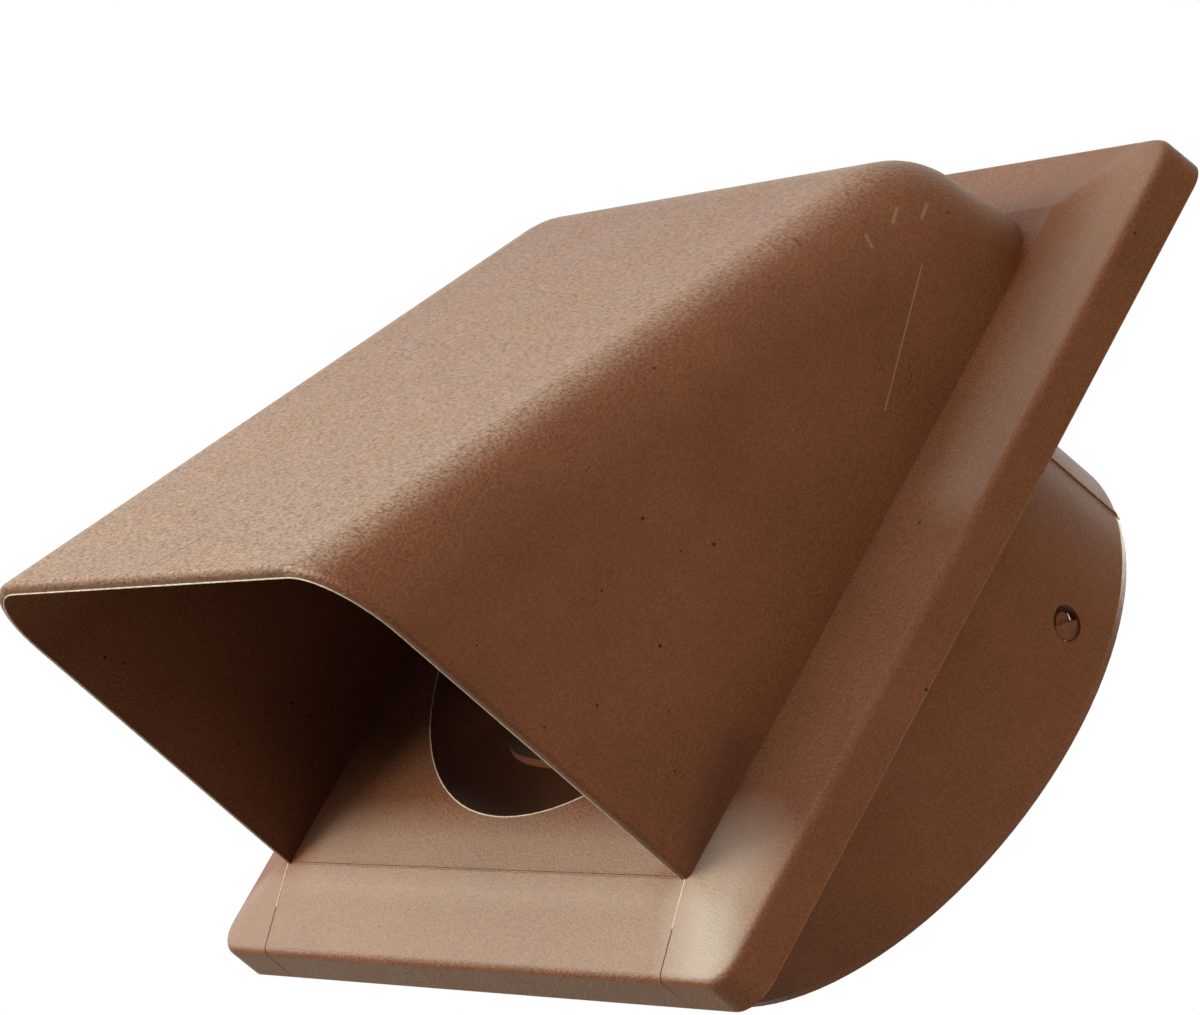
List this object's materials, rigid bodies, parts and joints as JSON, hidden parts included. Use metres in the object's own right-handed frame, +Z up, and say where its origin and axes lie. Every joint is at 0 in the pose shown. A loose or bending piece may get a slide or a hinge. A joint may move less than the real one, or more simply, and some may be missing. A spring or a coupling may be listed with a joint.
{
  "type": "hooded wall vent",
  "caption": "Square-flanged wall vent with a sloping downward-open hood in front, a round duct spigot behind and a swinging back-draught flap inside the spigot.",
  "frame": {"origin": "on the spigot's axis, in the plane of the wall, which is the flange's back face", "axes": "+X to the right seen from the front, +Y along the spigot back into the wall, +Z up"},
  "size_m": [0.14, 0.1227, 0.14],
  "materials": {
    "cowl": "satin brown moulded plastic with a fine grain",
    "damper_flap": "satin brown moulded plastic"
  },
  "bodies": {
    "cowl": {"cowl": "cowl"},
    "damper_flap": {"damper_flap": "damper_flap"}
  },
  "joints": [
    {"name": "flap_hinge", "type": "hinge", "parent": "cowl", "child": "damper_flap", "pos_m": [0, 0.0283, 0.0113], "axis": [-1, 0, 0], "range_deg": [-33.2, 46.8]}
  ]
}
